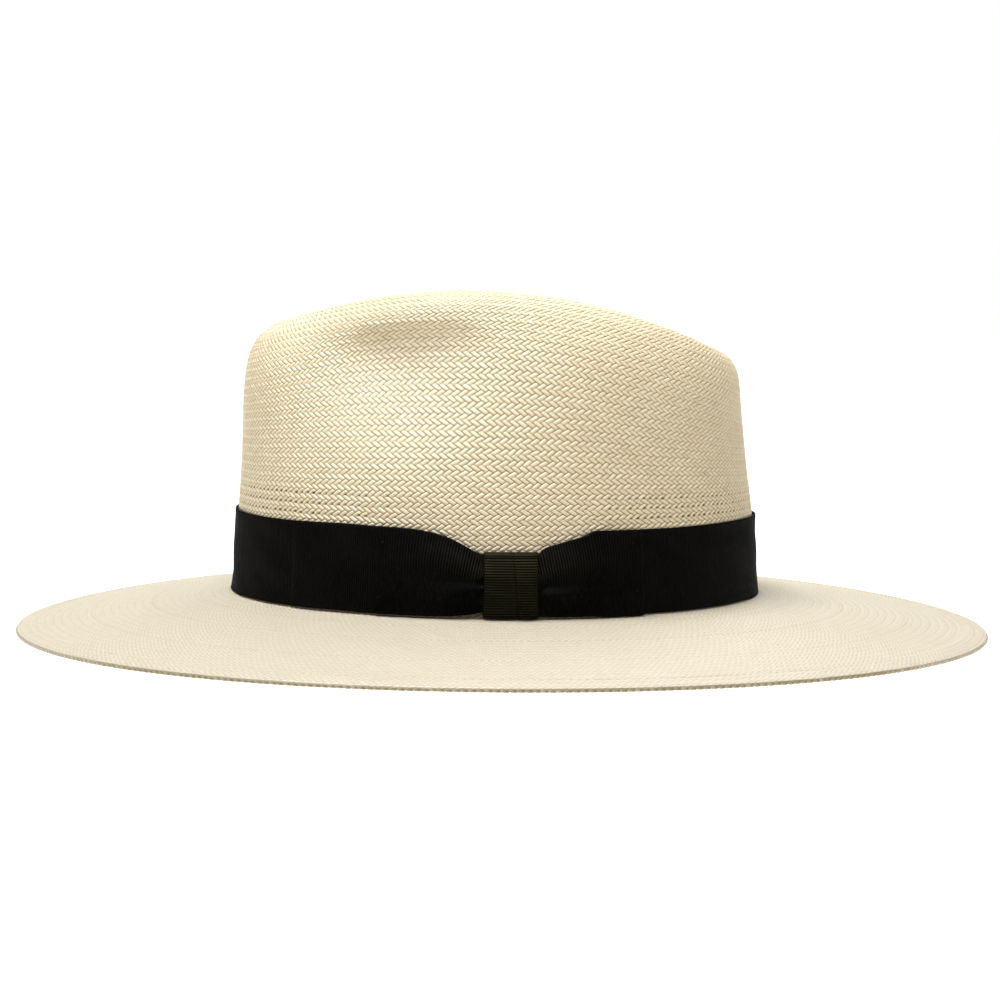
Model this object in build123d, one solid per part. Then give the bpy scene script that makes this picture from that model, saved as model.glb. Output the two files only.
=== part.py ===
from build123d import *
import math
import os

# Panama hat with a teardrop crown. Millimetres, +Z up, front of the hat toward -Y, wearer's left toward +X.
# The hat rests on the front and back of its brim at z = 0, and the brim is centred on the Z axis.

# --- driving dimensions ---
STRAW = 1.0            # thickness of one layer of the weave
BREAK_Z = 15.0         # height of the brim break, where the crown rises from the brim
BRIM_HALF_LENGTH = 191.2
BRIM_HALF_WIDTH = 170.0
EDGE_Z = 1.9           # upper face of the brim at its front and back tips
SIDE_CURL = 2.3        # how much higher the brim edge is at the sides
HEM_WIDTH = 8.5        # width of the edge folded under the brim
HEM_STRAW = 0.9
CREST_Z = 133.0        # highest point of the crown
CREST_Y = -11.2        # where along the hat that point is
CREST_FALL_FRONT = 0.0022   # fall of the crest line toward the front, per square millimetre
CREST_FALL_BACK = 0.0026
PINCH_ANGLE = math.radians(38)   # where round the crown the two front pinches are deepest
PINCH_SPREAD = math.radians(27)
HOLLOW_ANGLE = math.radians(62)  # centre of the hollow below each pinch, where a hand grips the crown
HOLLOW_SPREAD = math.radians(24)

BAND_TOP_Z = 46.0      # upper edge of the ribbon
RIBBON = 0.7           # thickness of the grosgrain ribbon
OVERLAP_FRONT_Y = -77.0     # the band's two ends overlap between these two places
OVERLAP_BACK_Y = 33.0
LOOP_FRONT_Y = -46.0   # outer ends of the two bow loops
LOOP_BACK_Y = 51.0
KNOT_Y = 2.9           # centre of the bow's knot
KNOT_HALF_WIDTH = 10.5
KNOT_TOP_Z = 39.4
LEAF_GAP = 0.8         # air between the two leaves of a pressed bow loop

SWEATBAND_GAP = 0.4    # room between straw and sweatband
LEATHER = 1.0
SWEATBAND_TOP_Z = 47.0
REED_RADIUS = 0.8

RING_POINTS = 24
CROWN_BANDS = 18       # bands between rings from the ribbon's edge to the middle of the dent

# Stations of the crown from the brim break up the wall, over the crest and down into the teardrop dent:
# front reach, back reach, half width, pinch and hollow (shares of the half width taken in), height rule, amount,
# skin lean.
# "at" is a fixed height, "below" is that far below the crest, "floor" follows the crest line by a third.
# Skin lean is the angle of the outward direction above the horizontal.
STATIONS = [
    (-106.5, 100.7, 85.9, 0.00, 0.00, "at", 15.0, 0),
    (-104.7, 98.7, 84.4, 0.00, 0.00, "at", 46.0, 0),
    (-103.4, 96.2, 81.0, 0.03, 0.02, "below", 57.0, 4),
    (-102.3, 93.9, 75.0, 0.12, 0.20, "below", 24.0, 12),
    (-99.0, 92.3, 65.5, 0.28, -0.02, "below", 9.5, 35),
    (-92.0, 88.2, 55.5, 0.38, -0.13, "below", 2.6, 62),
    (-86.0, 81.4, 46.0, 0.44, -0.15, "below", 0.0, 90),
    (-79.1, 74.4, 38.0, 0.48, -0.12, "below", 2.4, 118),
    (-70.5, 63.9, 27.0, 0.50, -0.05, "below", 10.5, 128),
    (-51.1, 42.9, 15.0, 0.40, 0.00, "floor", 112.0, 105),
    (-23.1, 14.9, 5.0, 0.10, 0.00, "at", 113.5, 90),
]
CREST_STATION = 6


def crest_height(t):
    """Height of the crest line at angle t round the hat, where t = 0 is the front."""
    front, back = STATIONS[CREST_STATION][:2]
    y = (front + back) / 2 - (back - front) / 2 * math.cos(t)
    fall = CREST_FALL_FRONT if y < CREST_Y else CREST_FALL_BACK
    return CREST_Z - fall * (y - CREST_Y) ** 2


def station_height(rule, amount, t):
    if rule == "at":
        return amount
    if rule == "below":
        # low stations straighten out, so they follow the crest line only in part
        follow = 1.0 if amount < 40 else 0.3
        return CREST_Z - 6.0 - amount + follow * (crest_height(t) - CREST_Z + 6.0)
    return amount + 0.35 * (crest_height(t) - 126.0)


def station_plan(station, t):
    """Plan position (x, y) of a station at angle t, with the two front pinches taken in."""
    front, back, half_width, pinch, hollow = station[:5]
    from_front = abs((t + math.pi) % (2 * math.pi) - math.pi)
    taken_in = pinch * math.exp(-((from_front - PINCH_ANGLE) / PINCH_SPREAD) ** 2)
    taken_in += hollow * math.exp(-((from_front - HOLLOW_ANGLE) / HOLLOW_SPREAD) ** 2)
    x = half_width * math.sin(t) * (1 - taken_in)
    y = (front + back) / 2 - (back - front) / 2 * math.cos(t)
    return x, y


def outward(plan, t):
    """Unit direction in plan that points out of the closed curve plan(t)."""
    x0, y0 = plan(t - 0.01)
    x1, y1 = plan(t + 0.01)
    length = math.hypot(x1 - x0, y1 - y0)
    return (y1 - y0) / length, -(x1 - x0) / length


def closed_ring(point_at):
    """Closed smooth wire through points taken evenly round the hat."""
    points = [point_at(2 * math.pi * i / RING_POINTS) for i in range(RING_POINTS)]
    return Wire([Edge.make_spline([Vector(p) for p in points], periodic=True)])


def station_point(index, t, offset):
    """Point of a station at angle t, moved by offset along its outward skin direction."""
    station = STATIONS[max(0, min(index, len(STATIONS) - 1))]
    rule, amount, lean = station[5:]
    lean = math.radians(lean)
    x, y = station_plan(station, t)
    nx, ny = outward(lambda angle: station_plan(station, angle), t)
    z = station_height(rule, amount, t)
    return Vector(x + offset * math.cos(lean) * nx, y + offset * math.cos(lean) * ny, z + offset * math.sin(lean))


def crown_point(level, t, offset):
    """Point on the crown between stations: level counts stations, joined by a Catmull-Rom curve."""
    index = min(int(level), len(STATIONS) - 2)
    f = level - index
    before, start, end, after = [station_point(index + step, t, offset) for step in (-1, 0, 1, 2)]
    return (start * 2 + (end - before) * f
            + (before * 2 - start * 5 + end * 4 - after) * f ** 2
            + (start * 3 - before - end * 3 + after) * f ** 3) * 0.5


def wall_ring(z, offset):
    """Ring round the lower crown wall at height z, moved out by offset."""
    low, high = STATIONS[0], STATIONS[1]
    share = (z - low[6]) / (high[6] - low[6])
    station = tuple(a + share * (b - a) for a, b in zip(low[:3], high[:3])) + (0.0, 0.0)

    def plan(t):
        return station_plan(station, t)

    def point_at(t):
        x, y = plan(t)
        nx, ny = outward(plan, t)
        return x + offset * nx, y + offset * ny, z

    return closed_ring(point_at)


def wall_layer(inner, outer, z_low, z_high):
    """Layer that wraps the lower crown wall, between two offsets and two heights."""
    body = Solid.make_loft([wall_ring(z_low, outer), wall_ring(z_high, outer)], ruled=True)
    hole = Solid.make_loft([wall_ring(z_low - 1, inner), wall_ring(z_high + 1, inner)], ruled=True)
    return body - hole


def oval_column(ring_at_zero, z_low, z_high):
    """Upright column whose outline is a flat closed ring."""
    face = Face(ring_at_zero).moved(Location((0, 0, z_low)))
    return extrude(face, amount=z_high - z_low, dir=(0, 0, 1))


def crown_skin(offset):
    """Faces of the crown's skin moved out by offset, open at the brim break."""
    last = len(STATIONS) - 1
    levels = [0, 1] + [1 + (last - 1) * i / CROWN_BANDS for i in range(1, CROWN_BANDS + 1)]
    rings = [closed_ring(lambda t, level=level: crown_point(level, t, offset)) for level in levels]
    body = Solid.make_loft(rings, ruled=True)
    return [face for face in body.faces() if face.center().Z > BREAK_Z + 0.01]


def brim_point(t, share, drop):
    """Point on the brim: share is 0 at the break and 1 at the edge, drop is below the upper face."""
    x0, y0 = station_plan(STATIONS[0], t)
    x1 = BRIM_HALF_WIDTH * math.sin(t)
    y1 = -BRIM_HALF_LENGTH * math.cos(t)
    edge_z = EDGE_Z + SIDE_CURL * math.sin(t) ** 2
    z = BREAK_Z + (edge_z - BREAK_Z) * share
    return x0 + (x1 - x0) * share, y0 + (y1 - y0) * share, z - drop


def brim_plate(upper_drop, lower_drop):
    """Plate that follows the brim between two depths below its upper face, still closed in the middle."""
    shares = [0.0, 0.5, 1.0]
    upper = [closed_ring(lambda t, s=s: brim_point(t, s, upper_drop)) for s in shares]
    lower = [closed_ring(lambda t, s=s: brim_point(t, s, lower_drop)) for s in reversed(shares)]
    return Solid.make_loft(upper + lower, ruled=True)


def brim_column(inset):
    """Upright column with the outline of the brim edge drawn in by inset."""
    half_width = BRIM_HALF_WIDTH - inset
    half_length = BRIM_HALF_LENGTH - inset
    ring = closed_ring(lambda t: (half_width * math.sin(t), -half_length * math.cos(t), 0.0))
    return oval_column(ring, -5, 30)


def slab(y_low, y_high, z_low=-10.0, z_high=60.0):
    """Block on the wearer's left side of the hat, used to keep one stretch of a layer."""
    return Pos(60, (y_low + y_high) / 2, (z_low + z_high) / 2) * Box(120, y_high - y_low, z_high - z_low)


def left_outline(points):
    """Column along X whose outline is a closed polygon of (y, z) points, on the wearer's left side."""
    face = make_face(Polyline(*[(0, y, z) for y, z in points], close=True))
    return extrude(face, amount=120, dir=(1, 0, 0))


def make_crown():
    """Woven shell: an outer and an inner skin, closed by a narrow ring of face at the brim break."""
    rim = Face(wall_ring(BREAK_Z, 0.0), [wall_ring(BREAK_Z, -STRAW)])
    return Solid(Shell(crown_skin(0.0) + crown_skin(-STRAW) + [rim]))


def make_brim():
    hole = oval_column(wall_ring(BREAK_Z, -STRAW).moved(Location((0, 0, -BREAK_Z))), BREAK_Z - 8, BREAK_Z + 8)
    return brim_plate(0.0, STRAW) - hole


def make_hem():
    """The weave folded under along the brim edge."""
    return brim_plate(STRAW, STRAW + HEM_STRAW) - brim_column(HEM_WIDTH)


def make_hem_stitching():
    """One line of thread on the upper face of the brim and one under the hem."""
    line = brim_column(HEM_WIDTH - 1.6) - brim_column(HEM_WIDTH - 1.0)
    upper = brim_plate(-0.3, 0.0) & line
    lower = brim_plate(STRAW + HEM_STRAW, STRAW + HEM_STRAW + 0.3) & line
    return upper + lower


def knot_gap():
    """Cut where the ribbon is gathered down to the height of the knot."""
    waist = KNOT_TOP_Z - RIBBON - 0.1
    return left_outline([
        (KNOT_Y - 27, BAND_TOP_Z + 3), (KNOT_Y - 27, BAND_TOP_Z), (KNOT_Y - KNOT_HALF_WIDTH, waist),
        (KNOT_Y + KNOT_HALF_WIDTH, waist), (KNOT_Y + 22, BAND_TOP_Z - 1), (KNOT_Y + 27, BAND_TOP_Z + 3),
    ])


def make_band():
    """Ribbon round the crown; its ends overlap under the bow."""
    band = wall_layer(0.0, RIBBON, BREAK_Z + 0.2, STATIONS[1][6])
    overlap = wall_layer(RIBBON - 0.05, 2 * RIBBON, BREAK_Z + 0.4, BAND_TOP_Z + 0.6)
    band += overlap & slab(OVERLAP_FRONT_Y, OVERLAP_BACK_Y)
    return band - knot_gap()


def make_loop(end_y, middle_y):
    """Pressed loop of ribbon: two leaves joined by the fold at end_y, running under the knot to middle_y."""
    leaf_in = 2 * RIBBON + 0.05
    leaf_out = leaf_in + RIBBON + LEAF_GAP
    side = 1 if end_y > middle_y else -1
    low, high = BREAK_Z + 0.6, BAND_TOP_Z + 0.4
    stretch = slab(min(end_y, middle_y), max(end_y, middle_y))
    fold = slab(min(end_y, end_y - side * RIBBON), max(end_y, end_y - side * RIBBON))
    loop = wall_layer(leaf_in, leaf_in + RIBBON, low, high) & stretch
    loop += wall_layer(leaf_out, leaf_out + RIBBON, low, high) & stretch
    loop += wall_layer(leaf_in, leaf_out + RIBBON, low, high) & fold
    waist_y = KNOT_Y + side * KNOT_HALF_WIDTH
    outline = left_outline([
        (middle_y, low + 1.2), (waist_y, low + 1.2), (end_y + side, low - 1), (end_y + side, high + 1),
        (waist_y + side * 17, high - 0.2), (waist_y, KNOT_TOP_Z - 1.0), (middle_y, KNOT_TOP_Z - 1.0),
    ])
    return loop & outline


def make_knot():
    """Strip of ribbon wrapped round the waist of the bow, turned in above and below it."""
    face_in = 4 * RIBBON + LEAF_GAP + 0.15
    across = slab(KNOT_Y - KNOT_HALF_WIDTH, KNOT_Y + KNOT_HALF_WIDTH)
    low = BREAK_Z + 0.5
    wrap = wall_layer(face_in, face_in + RIBBON, low, KNOT_TOP_Z)
    wrap += wall_layer(2 * RIBBON + 0.05, face_in + RIBBON, low, low + RIBBON)
    wrap += wall_layer(0.2, face_in + RIBBON, KNOT_TOP_Z - RIBBON, KNOT_TOP_Z)
    return wrap & across


def make_tack_stitches():
    """Small thread knots that hold the corners of the loops and the end of the overlap."""
    loop_face = 4 * RIBBON + LEAF_GAP + 0.05
    corners = [(LOOP_FRONT_Y + 3, 42.0), (LOOP_FRONT_Y + 2, 21.8), (LOOP_BACK_Y - 4, 42.0), (LOOP_BACK_Y - 3, 24.5)]
    stitches = Part()
    for y, z in corners:
        dot = Pos(60, y, z) * Rot(0, 90, 0) * Cylinder(0.6, 120)
        stitches += wall_layer(loop_face, loop_face + 0.4, z - 3, z + 3) & dot
    dot = Pos(60, OVERLAP_FRONT_Y + 1.5, 23.0) * Rot(0, 90, 0) * Cylinder(0.6, 120)
    stitches += wall_layer(2 * RIBBON, 2 * RIBBON + 0.4, 20, 26) & dot
    return stitches


SWEAT_OUT = -STRAW - SWEATBAND_GAP
SWEAT_IN = SWEAT_OUT - LEATHER


def make_sweatband():
    return wall_layer(SWEAT_IN, SWEAT_OUT, BREAK_Z - 0.1, SWEATBAND_TOP_Z)


def make_reed():
    """Round plastic reed along the lower edge of the sweatband."""
    z = BREAK_Z - 0.1 - REED_RADIUS
    path = wall_ring(z, (SWEAT_OUT + SWEAT_IN) / 2)
    start = path.position_at(0)
    profile = Plane(origin=start, z_dir=path.tangent_at(0)) * Circle(REED_RADIUS)
    return sweep(profile, path=path)


def make_sweatband_stitching():
    """Thread line that holds the sweatband to the crown, just above the reed."""
    return wall_layer(SWEAT_IN - 0.35, SWEAT_IN, BREAK_Z + 1.6, BREAK_Z + 2.1)


def rear_column(points):
    """Column along Y at the back of the hat whose outline is a closed polygon of (x, z) points."""
    face = make_face(Polyline(*[(x, 40, z) for x, z in points], close=True))
    return extrude(face, amount=100, dir=(0, 1, 0))


def make_rear_bow():
    """Small flat ribbon bow sewn where the ends of the sweatband meet."""
    outline = rear_column([
        (-15, 19), (-3, 22), (3, 22), (15, 19), (15, 30), (3, 27), (-3, 27), (-15, 30),
    ])
    return wall_layer(SWEAT_IN - 1.2, SWEAT_IN, 18.5, 31) & outline


def make_seam_stitching():
    """Zigzag thread that closes the sweatband above the small bow."""
    points = []
    step = 1.5
    count = 9
    for i in range(count):
        points.append((-1.4 if i % 2 else 1.0, 31.5 + i * step))
    for i in reversed(range(count)):
        points.append((-1.0 if i % 2 else 1.4, 31.5 + i * step))
    return wall_layer(SWEAT_IN - 0.3, SWEAT_IN, 31, 46) & rear_column(points)


def make_size_tag():
    """Blank label stuck to the inside of the sweatband beside the small bow."""
    outline = rear_column([(22, 26), (38, 26), (38, 38), (22, 38)])
    return wall_layer(SWEAT_IN - 0.25, SWEAT_IN, 25, 39) & outline


os.makedirs("parts", exist_ok=True)
export_step(make_crown(), "parts/straw_crown.step")
export_step(make_brim(), "parts/straw_brim.step")
export_step(make_hem(), "parts/brim_hem.step")
export_step(make_hem_stitching(), "parts/hem_stitching.step")
export_step(make_band(), "parts/hat_band.step")
export_step(make_loop(LOOP_FRONT_Y, KNOT_Y - 0.1), "parts/bow_front_loop.step")
export_step(make_loop(LOOP_BACK_Y, KNOT_Y + 0.1), "parts/bow_rear_loop.step")
export_step(make_knot(), "parts/bow_knot.step")
export_step(make_tack_stitches(), "parts/bow_tack_stitches.step")
export_step(make_sweatband(), "parts/sweatband.step")
export_step(make_reed(), "parts/sweatband_reed.step")
export_step(make_sweatband_stitching(), "parts/sweatband_stitching.step")
export_step(make_rear_bow(), "parts/sweatband_rear_bow.step")
export_step(make_seam_stitching(), "parts/sweatband_seam_stitching.step")
export_step(make_size_tag(), "parts/size_tag.step")
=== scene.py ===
import math

import bpy
import numpy as np
from mathutils import Matrix, Vector


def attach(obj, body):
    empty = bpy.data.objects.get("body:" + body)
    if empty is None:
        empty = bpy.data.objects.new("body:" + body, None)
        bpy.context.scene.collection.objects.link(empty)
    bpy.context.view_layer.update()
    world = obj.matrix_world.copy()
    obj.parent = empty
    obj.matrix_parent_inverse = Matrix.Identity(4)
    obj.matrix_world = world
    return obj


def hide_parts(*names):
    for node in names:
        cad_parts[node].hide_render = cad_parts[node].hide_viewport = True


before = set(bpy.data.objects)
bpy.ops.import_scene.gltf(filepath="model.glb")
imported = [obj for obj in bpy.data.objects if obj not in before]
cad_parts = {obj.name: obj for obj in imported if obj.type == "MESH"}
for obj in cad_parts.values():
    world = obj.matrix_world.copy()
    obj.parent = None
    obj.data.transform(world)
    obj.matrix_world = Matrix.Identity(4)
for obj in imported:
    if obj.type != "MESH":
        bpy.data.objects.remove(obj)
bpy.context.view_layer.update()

# Panama hat. Lengths in this script are millimetres in the frame of the CAD model, turned to metres when a
# mesh is made. +Z is up, -Y the front of the hat, +X the wearer's left, where the bow is.
MM = 0.001

# --- hat shape: the stations and sizes of the CAD model, but for the side hollow, which leans back here ---
STRAW = 1.0             # thickness of the woven straw
BREAK_Z = 15.0          # height at which the crown's wall meets the brim
BRIM_HALF_LENGTH = 191.2
BRIM_HALF_WIDTH = 170.0
BRIM_WIDTH = 86.0       # from the break to the edge, about the same all round
BRIM_SWELL = 0.9        # how far the middle of the brim rises over a straight line from break to edge
EDGE_Z = 1.9            # height of the brim's edge at the front and back
SIDE_CURL = 2.3         # how much higher the edge is at the sides
ROLL = 0.80             # radius of the brim's rolled edge
HEM_START = math.radians(32)    # turn of the rolled edge where the hem, with its painted shade, begins
HEM_WIDTH = 8.5
HEM_LIFT = 0.4          # how far the folded hem lifts the upper face of the brim
CREST_Z = 133.0
CREST_Y = -11.2
CREST_FALL_FRONT = 0.0022
CREST_FALL_BACK = 0.0026
MEAN_CREST_Z = 127.0    # stations low on the wall are set from this height
FLOOR_CREST_Z = 126.0   # crest height at which the dent's floor is at its own height
PINCH_ANGLE = math.radians(38)
PINCH_SPREAD = math.radians(27)
HOLLOW_ANGLE = math.radians(67)
HOLLOW_SPREAD = math.radians(24)
HOLLOW_LEAN = math.radians(4)   # how far the hollow moves back from one station to the next
HOLLOW_STATION = 3.5            # place between stations where it is at HOLLOW_ANGLE
CREST_STATION = 6
CREST_LEVEL = 6.2       # where the weave of the crown's side ends, just past the crest
# front reach, back reach, half width, pinch and hollow (shares of the half width taken in), and the height:
# at an amount, an amount below the crest, or the floor of the dent
STATIONS = [
    (-106.5, 100.7, 85.9, 0.00, 0.00, "at", 15.0),
    (-104.7, 98.7, 84.4, 0.00, 0.00, "at", 46.0),
    (-103.4, 96.2, 81.0, 0.03, 0.02, "below", 57.0),
    (-102.3, 93.9, 75.0, 0.12, 0.20, "below", 24.0),
    (-99.0, 92.3, 65.5, 0.28, -0.02, "below", 9.5),
    (-92.0, 88.2, 55.5, 0.38, -0.13, "below", 2.6),
    (-86.0, 81.4, 46.0, 0.44, -0.15, "below", 0.0),
    (-79.1, 74.4, 38.0, 0.48, -0.12, "below", 2.4),
    (-70.5, 63.9, 27.0, 0.50, -0.05, "below", 10.5),
    (-51.1, 42.9, 15.0, 0.40, 0.00, "floor", 112.0),
    (-23.1, 14.9, 5.0, 0.10, 0.00, "at", 113.5),
]
LAST = len(STATIONS) - 1

# --- weave ---
FLOATS_ROUND = 198      # floats in one row round the crown
ROW_HEIGHT = 1.78       # mean distance between two rows of the herringbone on the crown
BRIM_ROW_HEIGHT = 1.62
UNDERSIDE_ROW_HEIGHT = 1.8
FLOAT_RISE = 0.54       # how far a float stands out of the gaps beside it
STEEPENING = 0.085      # how far mesh places are drawn to the sides of a straw, which makes its top flat

# --- ribbon and bow ---
BAND_TOP_Z = 46.0
RIB_PITCH = 0.95        # distance between the cross ribs of the grosgrain
BAND_RIBS = 760         # ribs once round the crown
BAND_CLOTH = 0.5        # thickness of the band under its ribs
BOW_CLOTH = 0.45
RIB_RISE = 0.13
KNOT_Y = 2.9
KNOT_HALF_WIDTH = 10.5
KNOT_TOP_Z = 38.8
KNOT_CORNER = 1.3       # radius of the knot's turns over and under the bow
LOOP_FRONT_Y = -46.0
LOOP_BACK_Y = 51.0
OVERLAP_FRONT_Y = -78.5
OVERLAP_BACK_Y = 33.0

# --- sweatband ---
SWEAT_OUT = -1.4        # its outer face, measured out from the straw's outer face
LEATHER = 1.0
SWEATBAND_TOP_Z = 47.0
REAR_BOW_Z = 24.5
REAR_BOW_REACH = 15.0

# --- studio, with lengths in metres ---
AMBIENT = 0.31
FLOOR_GLOW = 0.97
FLOOR_Z = -0.0004       # just under the hat
LIGHT_DISTANCE = 1.3
LIGHT_SIZE = 0.6
LIGHT_TARGET = (0.0, -0.02, 0.07)
CAMERA_PLACE = (0.900, -0.00115, 0.1324)
CAMERA_DIP = 0.091      # radians that the camera looks down
CAMERA_ROLL = 0.008
CAMERA_LENS = 81.65     # mm, on a sensor 36 mm wide


# ---------- hat surfaces

def smooth(x, low, high):
    """0 below low, 1 above high, with a soft step between."""
    f = np.clip((x - low) / (high - low), 0.0, 1.0)
    return f * f * (3.0 - 2.0 * f)


def bell(x, centre, width):
    """1 at the centre, falling softly to 0 beyond the width."""
    return np.exp(-((x - centre) / width) ** 2)


def station_column(column):
    return np.array([float(station[column]) for station in STATIONS])


FRONT, BACK, HALF_WIDTH, PINCH, HOLLOW = (station_column(column) for column in range(5))
AMOUNT = station_column(6)
RULE = np.array([("at", "below", "floor").index(station[5]) for station in STATIONS])


def hat_y(t, station=0):
    """Hat-wise position y at angle t on the oval of a station; the first is the brim break."""
    front, back = FRONT[station], BACK[station]
    return (front + back) / 2 - (back - front) / 2 * np.cos(t)


def angle_at(y):
    """Angle t on the wearer's left where the brim break reaches position y."""
    front, back = FRONT[0], BACK[0]
    return np.arccos(np.clip(((front + back) / 2 - y) / ((back - front) / 2), -1, 1))


def crest_height(t):
    y = hat_y(t, CREST_STATION)
    fall = np.where(y < CREST_Y, CREST_FALL_FRONT, CREST_FALL_BACK)
    return CREST_Z - fall * (y - CREST_Y) ** 2


def station_point(index, t):
    """Points of stations (an index array) at angles t, where t = 0 is the front of the hat."""
    index = np.clip(index, 0, LAST)
    from_front = np.abs((t + np.pi) % (2 * np.pi) - np.pi)
    hollow_centre = HOLLOW_ANGLE + HOLLOW_LEAN * (index - HOLLOW_STATION)
    taken_in = (PINCH[index] * bell(from_front, PINCH_ANGLE, PINCH_SPREAD)
                + HOLLOW[index] * bell(from_front, hollow_centre, HOLLOW_SPREAD))
    x = HALF_WIDTH[index] * np.sin(t) * (1 - taken_in)
    # stations far below the crest, and the floor of the dent, follow its fall only in part
    crest = crest_height(t)
    follow = np.where(AMOUNT[index] < 40, 1.0, 0.3)
    below = MEAN_CREST_Z - AMOUNT[index] + follow * (crest - MEAN_CREST_Z)
    floor = AMOUNT[index] + 0.35 * (crest - FLOOR_CREST_Z)
    z = np.choose(RULE[index], [AMOUNT[index], below, floor])
    return np.stack([x, hat_y(t, index), z], axis=-1)


def crown_point(t, level):
    """Points on the crown: level counts stations, joined by Catmull-Rom curves."""
    index = np.clip(np.floor(level).astype(int), 0, LAST - 1)
    f = (level - index)[..., None]
    before, start, end, after = [station_point(index + step, t) for step in (-1, 0, 1, 2)]
    curve = 0.5 * (start * 2 + (end - before) * f
                   + (before * 2 - start * 5 + end * 4 - after) * f ** 2
                   + (start * 3 - before - end * 3 + after) * f ** 3)
    straight = start + (end - start) * f
    return np.where(level[..., None] < 1.0, straight, curve)


def base_point(t):
    """Oval of the brim break."""
    return station_point(np.zeros(np.shape(t), int), t)


def brim_point(t, share):
    """Points on the brim's upper face: share is 0 at the break and 1 at the edge."""
    start = base_point(t)
    edge_z = EDGE_Z + SIDE_CURL * np.sin(t) ** 2
    edge = np.stack([BRIM_HALF_WIDTH * np.sin(t), -BRIM_HALF_LENGTH * np.cos(t), edge_z], axis=-1)
    point = start + (edge - start) * share[..., None]
    # a long soft swell lifts the middle of the brim a little, most at the sides
    point[..., 2] += BRIM_SWELL * np.sin(np.pi * share) * (0.4 + 0.6 * np.sin(t) ** 2)
    return point


def even_angles(round_share):
    """Angle t at a share of the way round the brim break, measured along the oval from the back."""
    fine = np.linspace(0, 2 * np.pi, 4001) + np.pi
    points = base_point(fine)
    length = np.concatenate([[0], np.cumsum(np.linalg.norm(np.diff(points, axis=0), axis=1))])
    turns = np.floor(round_share)
    return np.interp(round_share - turns, length / length[-1], fine) + 2 * np.pi * turns


def level_lengths(levels):
    """Mean length of the crown's profile up to each level, in millimetres."""
    t = np.linspace(0, 2 * np.pi, 72, endpoint=False)
    rows = np.stack([crown_point(t, np.full(t.shape, level)) for level in levels])
    steps = np.linalg.norm(np.diff(rows, axis=0), axis=2).mean(axis=1)
    return np.concatenate([[0], np.cumsum(steps)])


CROWN_LEVELS = np.linspace(0, LAST, 201)
CROWN_LENGTHS = level_lengths(CROWN_LEVELS)


def wall_point(t, z, out):
    """Points on the lower crown wall at height z, moved out by out."""
    t, z, out = np.broadcast_arrays(t, z, out)
    share = (z - BREAK_Z) / (AMOUNT[1] - BREAK_Z)
    points = []
    for angle in (t - 0.002, t, t + 0.002):
        low = station_point(np.zeros(t.shape, int), angle)
        high = station_point(np.ones(t.shape, int), angle)
        points.append(low + (high - low) * share[..., None])
    along = points[2] - points[0]
    length = np.hypot(along[..., 0], along[..., 1])
    normal = np.stack([along[..., 1] / length, -along[..., 0] / length, 0 * length], axis=-1)
    place = points[1] + normal * out[..., None]
    place[..., 2] = z
    return place


def wall_frames(t, z, out):
    """Points by the lower crown wall, and the direction out of it at each."""
    points = wall_point(t, z, out)
    return points, wall_point(t, z, out + 1.0) - points


def soft_noise(t, rows, seed, waves=6):
    """Smooth seeded noise round the hat and along its rows, about -1 to 1."""
    random = np.random.default_rng(seed)
    total = np.zeros(np.broadcast(t, rows).shape)
    for _ in range(waves):
        turns = random.integers(1, 14)
        total += np.sin(turns * t + rows * random.uniform(0.03, 0.22) + random.uniform(0, 6.3))
    return total / math.sqrt(waves)


# ---------- mesh helpers

def new_piece(name, vertices, faces, look, slot, replaced):
    """Mesh piece from millimetre points and equal-sided faces, riding on the hat and replacing a CAD node."""
    mesh = bpy.data.meshes.new(name)
    faces = [np.asarray(block, dtype=np.int32) for block in faces if len(block)]
    corners = np.concatenate([block.ravel() for block in faces])
    sizes = np.concatenate([np.full(len(block), block.shape[1]) for block in faces])
    starts = np.concatenate([[0], np.cumsum(sizes)[:-1]])
    mesh.vertices.add(len(vertices))
    mesh.vertices.foreach_set("co", (np.asarray(vertices, float) * MM).ravel())
    mesh.loops.add(len(corners))
    mesh.loops.foreach_set("vertex_index", corners)
    mesh.polygons.add(len(sizes))
    mesh.polygons.foreach_set("loop_start", starts)
    mesh.polygons.foreach_set("loop_total", sizes)
    mesh.update(calc_edges=True)
    mesh.shade_smooth()
    piece = bpy.data.objects.new(name, mesh)
    bpy.context.scene.collection.objects.link(piece)
    mesh.materials.append(look)
    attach(piece, "root")
    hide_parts(replaced)
    return piece


def add_attribute(piece, name, domain, values):
    attribute = piece.data.attributes.new(name, "FLOAT", domain)
    attribute.data.foreach_set("value", np.asarray(values, dtype=np.float32).ravel())


def surface_normals(place, u, v, step_u, step_v):
    """Unit normals of a parametric surface, by differences."""
    along_u = place(u + step_u, v) - place(u - step_u, v)
    along_v = place(u, v + step_v) - place(u, v - step_v)
    normal = np.cross(along_u, along_v)
    return normal / np.maximum(np.linalg.norm(normal, axis=-1, keepdims=True), 1e-9)


def steepened(place):
    """Straw coordinate with the mesh places drawn toward the sides of each straw."""
    return place - STEEPENING * np.sin(2 * np.pi * place)


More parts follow.
